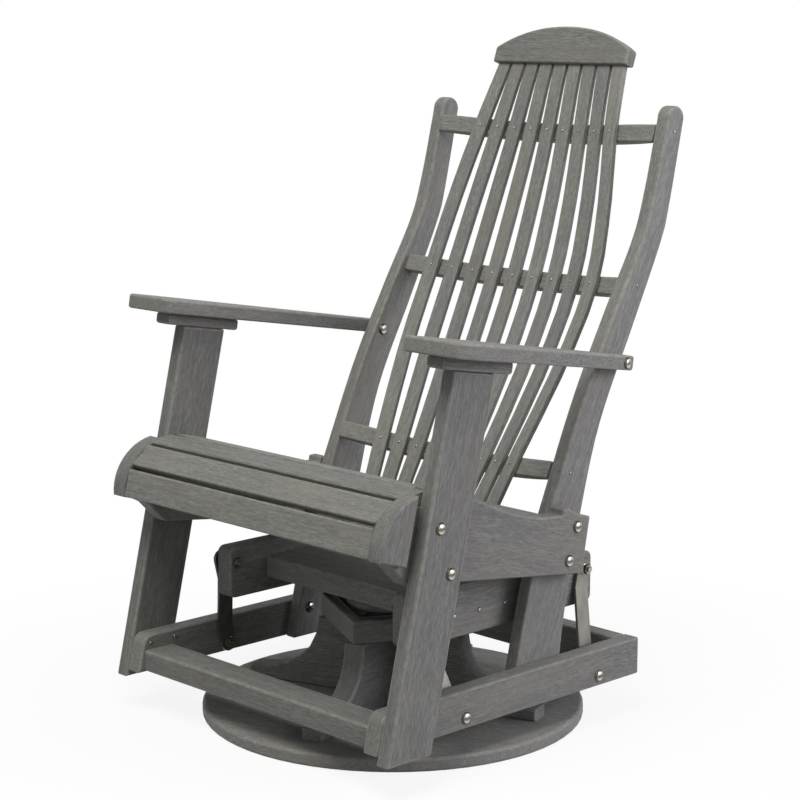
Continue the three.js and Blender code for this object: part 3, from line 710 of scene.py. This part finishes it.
def stacked(parts, side, axis, items):
    pieces = []
    for part, x, way in items:
        pieces.append(copied(parts[part], (side * x * MM, *axis), (side * way, 0, 0), NUT_SPIN))
    return pieces


def add_pivots(head):
    parts = {
        "washer": turned("washer", WASHER, ROUND_SIDES, BOLT_STEEL),
        "nut": turned("nut", HEX_NUT, HEX_SIDES, BOLT_STEEL),
        "end": turned("bolt_end", BOLT_END, ROUND_SIDES, BOLT_STEEL),
        "head": head,
    }
    for side, word in SIDES:
        for start, stack in PIVOT_STACKS.items():
            name = start + word
            bolt = as_one("bolt_" + name, stacked(parts, side, axis_of(name), stack), body_of(name))
            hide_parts(name)
        link_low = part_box("rear_link_" + word)[0]
        rear = stacked(parts, side, (link_low[1] + LINK_EYE, link_low[2] + LINK_EYE), REAR_HEAD)
        as_one("rear_link_bolt_head_" + word, rear, "rear_links")
    for model in parts.values():
        bpy.data.objects.remove(model)


# Hexagon bolts at the corners of the swivel plates, with their turns in radians
PLATE_BOLT_REACH = 70 * MM
PLATE_THICK = 4 * MM
LOWER_BOLT_SPIN = 0.4
UPPER_BOLT_SPIN = 0.2


def add_plate_bolts():
    bolt = turned("plate_bolt", HEX_HEAD, HEX_SIDES, SCREW_STEEL)
    corners = [Vector((a * PLATE_BOLT_REACH, b * PLATE_BOLT_REACH, 0)) for a in (1, -1) for b in (1, -1)]
    turn = Matrix.Rotation(PEDESTAL_TURN + QUARTER_TURN / 2, 3, "Z")
    top = Vector((0, 0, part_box("lower_swivel_plate")[0][2] + PLATE_THICK))
    low = [copied(bolt, turn @ corner + top, (0, 0, 1), LOWER_BOLT_SPIN) for corner in corners]
    as_one("lower_plate_bolts", low, "base")
    bottom = Vector((0, 0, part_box("upper_swivel_plate")[1][2] - PLATE_THICK))
    high = [copied(bolt, corner + bottom, (0, 0, -1), UPPER_BOLT_SPIN) for corner in corners]
    as_one("upper_plate_bolts", high, "swivel_frame")
    bpy.data.objects.remove(bolt)


def add_camera():
    azimuth, pitch, roll = (math.radians(turn) for turn in (CAMERA_TURN, CAMERA_PITCH, CAMERA_ROLL))
    right = Vector((math.cos(azimuth), math.sin(azimuth), 0))
    level_ahead = Vector((-math.sin(azimuth), math.cos(azimuth), 0))
    ahead = level_ahead * math.cos(pitch) - Vector((0, 0, math.sin(pitch)))
    up = right.cross(ahead)
    rolled_right = right * math.cos(roll) - up * math.sin(roll)
    rolled_up = right * math.sin(roll) + up * math.cos(roll)
    turn = Matrix((rolled_right, rolled_up, -ahead)).transposed()
    data = bpy.data.cameras.new("camera")
    data.sensor_width = CAMERA_SENSOR
    data.lens = CAMERA_LENS
    camera = bpy.data.objects.new("camera", data)
    bpy.context.scene.collection.objects.link(camera)
    camera.matrix_world = Matrix.Translation(CAMERA_PLACE) @ turn.to_4x4()
    bpy.context.scene.camera = camera


# Round soft lamps: place, the spot that each is aimed at, size, power and colour
LAMPS = {
    "key": ((0.7, -1.8, 3.9), (0, 0, 0.5), 2.4, 112, (1.0, 0.99, 0.93)),
    "side": ((2.7, 1.3, 1.35), (0.2, 0.1, 0.5), 1.8, 46, (1.0, 0.965, 1.06)),
}
WORLD_TINT = (0.97, 0.97, 1.0, 1.0)
WORLD_LIGHT = 0.33
WHITE = (1.0, 1.0, 1.0, 1.0)


def add_lamps():
    for name, (place, aim, size, power, colour) in LAMPS.items():
        data = bpy.data.lights.new(name, "AREA")
        data.shape = "DISK"
        data.size = size
        data.energy = power
        data.color = colour
        lamp = bpy.data.objects.new(name, data)
        bpy.context.scene.collection.objects.link(lamp)
        lamp.location = place
        lamp.rotation_euler = (Vector(aim) - Vector(place)).to_track_quat("-Z", "Y").to_euler()


def seen_share(look):
    """One for rays from the camera, from gloss and through glass, and nought for the rest."""
    rays = look.node("ShaderNodeLightPath", {})
    glossy, through = rays.value("Is Glossy Ray"), rays.value("Is Transmission Ray")
    return rays.value("Is Camera Ray").larger(glossy).larger(through)


def add_world():
    world = bpy.data.worlds.new("studio")
    bpy.context.scene.world = world
    look = Look(world, "ShaderNodeOutputWorld")
    lighting = look.node("ShaderNodeBackground", {}, Color=WORLD_TINT, Strength=WORLD_LIGHT)
    white = look.node("ShaderNodeBackground", {}, Color=WHITE, Strength=1.0)
    look.ended(look.node("ShaderNodeMixShader", {}, seen_share(look), lighting.out(), white.out()))


# A pale floor that keeps the chair's shadow and runs out into the white background
FLOOR_RADIUS = 30
FLOOR_SIDES = 96
FLOOR_GLOW = 0.88
FLOOR_FADE = (0.42, 1.1)
FLOOR_MATT = (0.90, 0.90, 0.90, 1.0)
FLOOR_BOUNCE = (0.30, 0.30, 0.30, 1.0)


def add_floor():
    bpy.ops.mesh.primitive_circle_add(
        vertices=FLOOR_SIDES, radius=FLOOR_RADIUS, fill_type="NGON", location=(0, 0, 0)
    )
    floor = bpy.context.active_object
    floor.name = "floor"
    look = material_look("floor_white")
    place = look.node("ShaderNodeTexCoord", {}).out("Object")
    far = look.node("ShaderNodeVectorMath", {"operation": "LENGTH"}, place).value("Value")
    matt = look.node("ShaderNodeBsdfDiffuse", {}, Color=FLOOR_MATT)
    white = look.node("ShaderNodeEmission", {}, Color=WHITE, Strength=1.0)
    fade = look.remapped(far, FLOOR_FADE, (FLOOR_GLOW, 1.0))
    lit = look.node("ShaderNodeMixShader", {}, fade, matt.out(), white.out())
    bounce = look.node("ShaderNodeBsdfDiffuse", {}, Color=FLOOR_BOUNCE)
    both = look.node("ShaderNodeMixShader", {}, seen_share(look), bounce.out(), lit.out())
    floor.data.materials.append(look.ended(both))


add_camera()
add_world()
add_floor()
add_lamps()
carriage_head = add_carriage_heads()
add_screws()
add_pivots(carriage_head)
add_plate_bolts()
finish_lumber()
finish_steel()

bpy.context.scene.view_settings.view_transform = "Standard"
